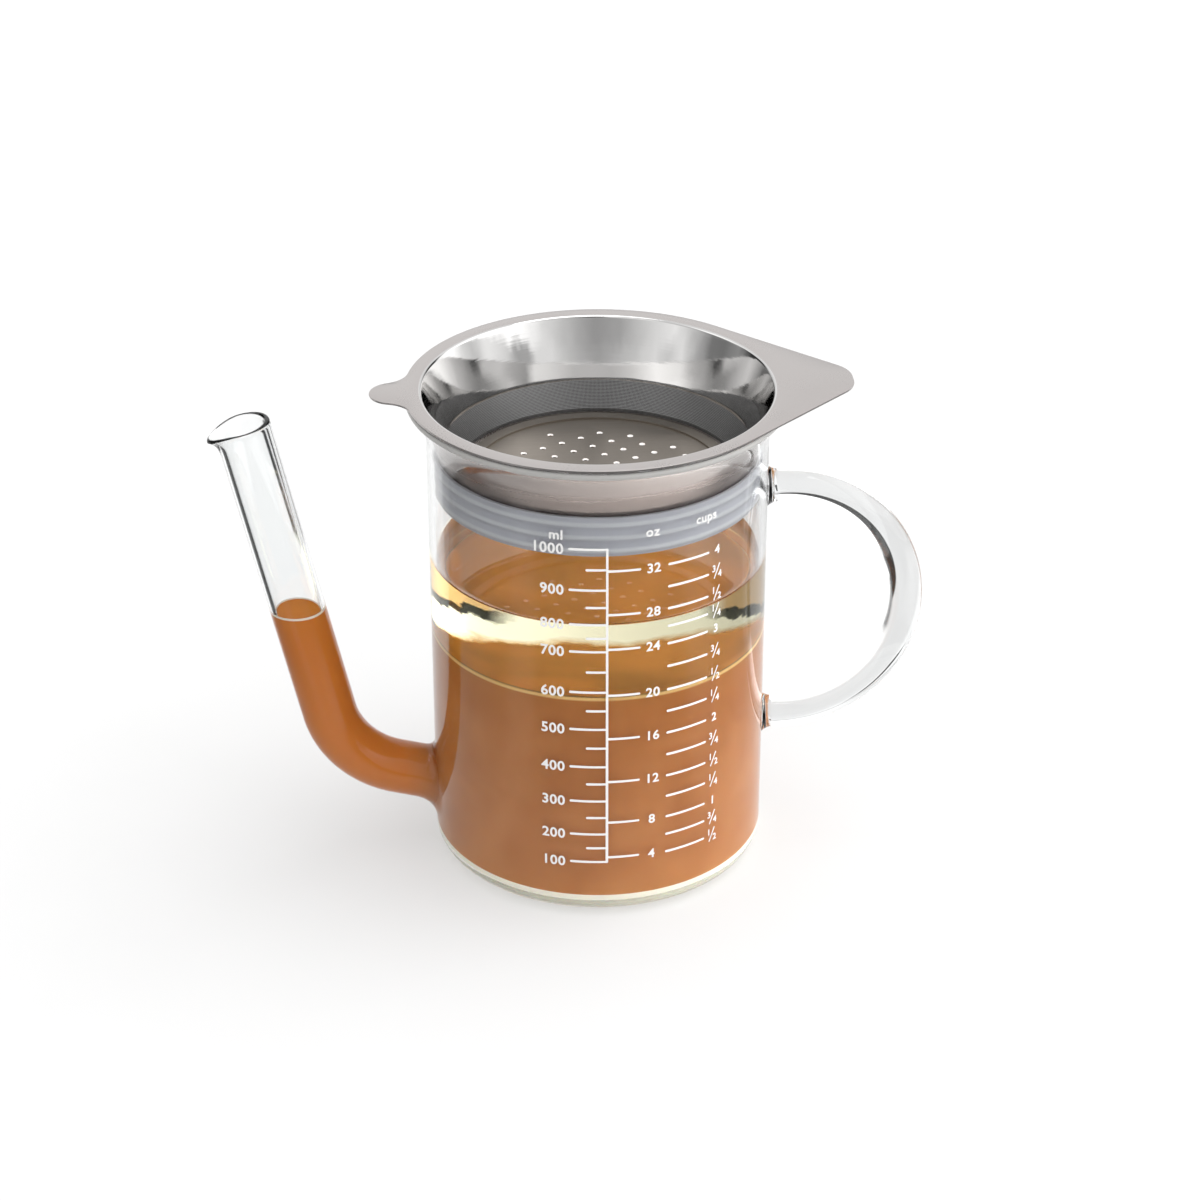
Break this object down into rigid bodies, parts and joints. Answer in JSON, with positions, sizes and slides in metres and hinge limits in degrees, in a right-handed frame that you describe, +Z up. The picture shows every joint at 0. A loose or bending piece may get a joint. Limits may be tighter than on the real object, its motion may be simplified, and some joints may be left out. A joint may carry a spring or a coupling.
{
  "type": "gravy fat separator",
  "caption": "Cylindrical glass jug with a low bent spout and a bar handle, holding a lift-out steel strainer with a silicone seal.",
  "frame": {"origin": "centre of the jug's foot, on the plane that it stands on", "axes": "+Z up, +X towards the handle, -X towards the spout"},
  "size_m": [0.224, 0.119, 0.1595],
  "materials": {
    "clear_glass": "clear, polished",
    "steel_sheet": "satin flange, bright pressed funnel",
    "steel_mesh": "fine weave",
    "perforated_steel": "satin",
    "silicone": "matt, translucent"
  },
  "bodies": {
    "jug": {"jug_body": "clear_glass", "spout_neck": "clear_glass", "spout_bend": "clear_glass", "spout_tube": "clear_glass", "pouring_lip": "clear_glass", "handle_bar": "clear_glass", "handle_top_weld": "clear_glass", "handle_bottom_weld": "clear_glass"},
    "strainer": {"strainer_funnel": "steel_sheet", "mesh_band": "steel_mesh", "mesh_clamp_ring": "steel_sheet", "sieve_plate": "perforated_steel"},
    "gasket": {"silicone_gasket": "silicone"}
  },
  "joints": [
    {"name": "strainer_lift", "type": "slide", "parent": "jug", "child": "strainer", "axis": [0, 0, 1], "range_m": [0, 0.06]},
    {"name": "gasket_slip", "type": "slide", "parent": "strainer", "child": "gasket", "axis": [0, 0, -1], "range_m": [0, 0.02]}
  ]
}
